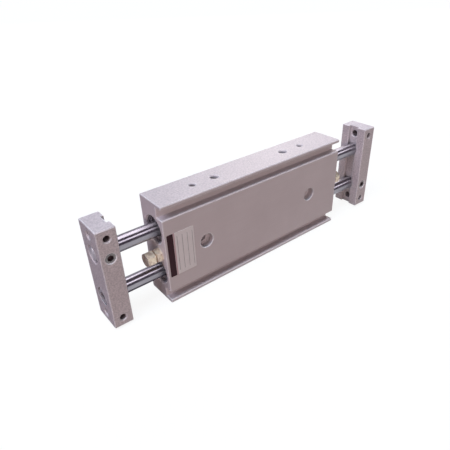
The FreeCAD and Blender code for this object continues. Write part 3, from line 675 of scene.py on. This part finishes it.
def rounded_corners(inset):
    """Points around the label's outline, drawn in by inset."""
    radius = LABEL_CORNER - inset
    middle_x, middle_z = (LABEL_LEFT + LABEL_RIGHT) / 2, (LABEL_LOW + LABEL_HIGH) / 2
    half_x = (LABEL_RIGHT - LABEL_LEFT) / 2 - LABEL_CORNER
    half_z = (LABEL_HIGH - LABEL_LOW) / 2 - LABEL_CORNER
    points = []
    for corner, (sign_x, sign_z) in enumerate(((1, 1), (-1, 1), (-1, -1), (1, -1))):
        for step in range(CORNER_STEPS + 1):
            angle = math.pi / 2 * (corner + step / CORNER_STEPS)
            points.append((middle_x + sign_x * half_x + radius * math.cos(angle),
                           middle_z + sign_z * half_z + radius * math.sin(angle)))
    return points


def label_shape(shell):
    back_y = body_low[1]
    front_y = back_y - LABEL_THICKNESS
    back = [shell.verts.new((x, back_y, z)) for x, z in rounded_corners(0.0)]
    front = [shell.verts.new((x, front_y, z)) for x, z in rounded_corners(LABEL_THICKNESS)]
    shell.faces.new(back)
    shell.faces.new(front)
    for index in range(len(back)):
        shell.faces.new((back[index - 1], back[index], front[index], front[index - 1]))


def add_section(shell, mouth, inward, turn, spots):
    """The corners of a section at one turn around a hole; spots give their radius and depth."""
    side = inward.orthogonal().normalized()
    out = side * math.cos(turn) + inward.cross(side) * math.sin(turn)
    return [shell.verts.new(mouth + inward * depth + out * radius) for radius, depth in spots]


def join_sections(shell, sections):
    for section, after in zip(sections, sections[1:]):
        for index in range(len(section)):
            shell.faces.new((section[index - 1], section[index], after[index], after[index - 1]))


def add_ridge(shell, mouth, inward, radius, pitch, length):
    """One screw ridge along the wall of a hole, closed at both ends.

    Its crest and its far side stand at CREST_AT and RIDGE_END of the pitch.
    """
    root, crest = radius + INTO_WALL, radius - THREAD_HEIGHT
    sections = []
    for step in range(round(length / pitch * THREAD_STEPS) + 1):
        turn = 2 * math.pi * step / THREAD_STEPS
        depth = pitch * step / THREAD_STEPS
        spots = ((root, depth), (crest, depth + CREST_AT * pitch), (root, depth + RIDGE_END * pitch))
        sections.append(add_section(shell, mouth, inward, turn, spots))
    join_sections(shell, sections)
    shell.faces.new(sections[0])
    shell.faces.new(sections[-1])


def add_threads(mount_name, spacing_way, pitch, length, body, slot):
    """Ridges in the tapped holes of one mount, which lie along spacing_way."""
    mount = mount_named(mount_name)
    sizes = mount["dims"]
    radius = sizes.get("hole_r_mm", sizes.get("r_mm")) * MM
    spacing = (sizes.get("spacing_x_mm") or sizes.get("spacing_y_mm") or 0.0) * MM
    signs = (-1, 1) if spacing else (0,)
    inward = -Vector(mount["axis"])
    start = THREAD_START - sizes.get("length_mm", 0.0) / 2 * MM

    def shape(shell):
        for sign in signs:
            centre = Vector(mount["pos_m"]) + Vector(spacing_way) * sign * spacing / 2
            add_ridge(shell, centre + inward * start, inward, radius, pitch, length)

    # The ridges take the dark thread finish, which is painted shade.
    shown_piece(f"{mount_name}_ridges", shape, body, slot, "shade_dark_thread")


def add_all_threads():
    along_x, along_z = (1, 0, 0), (0, 0, 1)
    on_body = ("barrel", "anodised_body")
    on_plate = ("rods", "anodised_plate")
    for face in ("top", "bottom"):
        add_threads(f"{face}_threads", along_x, M4_PITCH, FACE_THREAD_LENGTH, *on_body)
    for side in ("left", "right"):
        add_threads(f"{side}_plate_threads", along_z, M5_PITCH, PLATE_THREAD_LENGTH, *on_plate)
        add_threads(f"{side}_plate_edge_threads", along_z, M4_PITCH, EDGE_THREAD_LENGTH, *on_plate)
        add_threads(f"{side}_port", along_x, M5_PITCH, PORT_THREAD_LENGTH, *on_body)


def add_rim(shell, mouth, inward, radius, width):
    """A chamfer around the mouth of a hole: a ring that narrows with its depth."""
    root = radius + INTO_WALL
    spots = ((root, 0.0), (radius - width, width), (root, width))
    sections = []
    for step in range(RIM_STEPS):
        sections.append(add_section(shell, mouth, inward, 2 * math.pi * step / RIM_STEPS, spots))
    join_sections(shell, sections + sections[:1])


def mount_rims(shell):
    mount = mount_named("wide_face_holes")
    middle = Vector(mount["pos_m"])
    reach = mount["dims"]["spacing_x_mm"] / 2 * MM
    for face, way in ((body_low[1], 1), (body_high[1], -1)):
        for x in (middle.x - reach, middle.x + reach):
            add_rim(shell, Vector((x, face, middle.z)), Vector((0, way, 0)), SINK_RADIUS, SINK_RIM)


def side_screw_rims(shell):
    """Rims in the plates' front edges, from the edge down to the sunk end of each side screw."""
    for side in ("left", "right"):
        screw_low, screw_high = (Vector(corner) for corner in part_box(f"{side}_side_screw"))
        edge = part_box(f"{side}_plate")[0][1]
        middle = (screw_low + screw_high) / 2
        radius = (screw_high.x - screw_low.x) / 2
        add_rim(shell, Vector((middle.x, edge, middle.z)), Vector((0, 1, 0)), radius, screw_low.y - edge)


add_camera()
add_stage()
materials = slot_materials()
dress_nodes()
shown_piece("label", label_shape, "barrel", "label_film")
shown_piece("mount_rims", mount_rims, "barrel", "anodised_body")
shown_piece("side_screw_rims", side_screw_rims, "rods", "anodised_plate")
add_all_threads()

bpy.context.scene.view_settings.view_transform = "Standard"
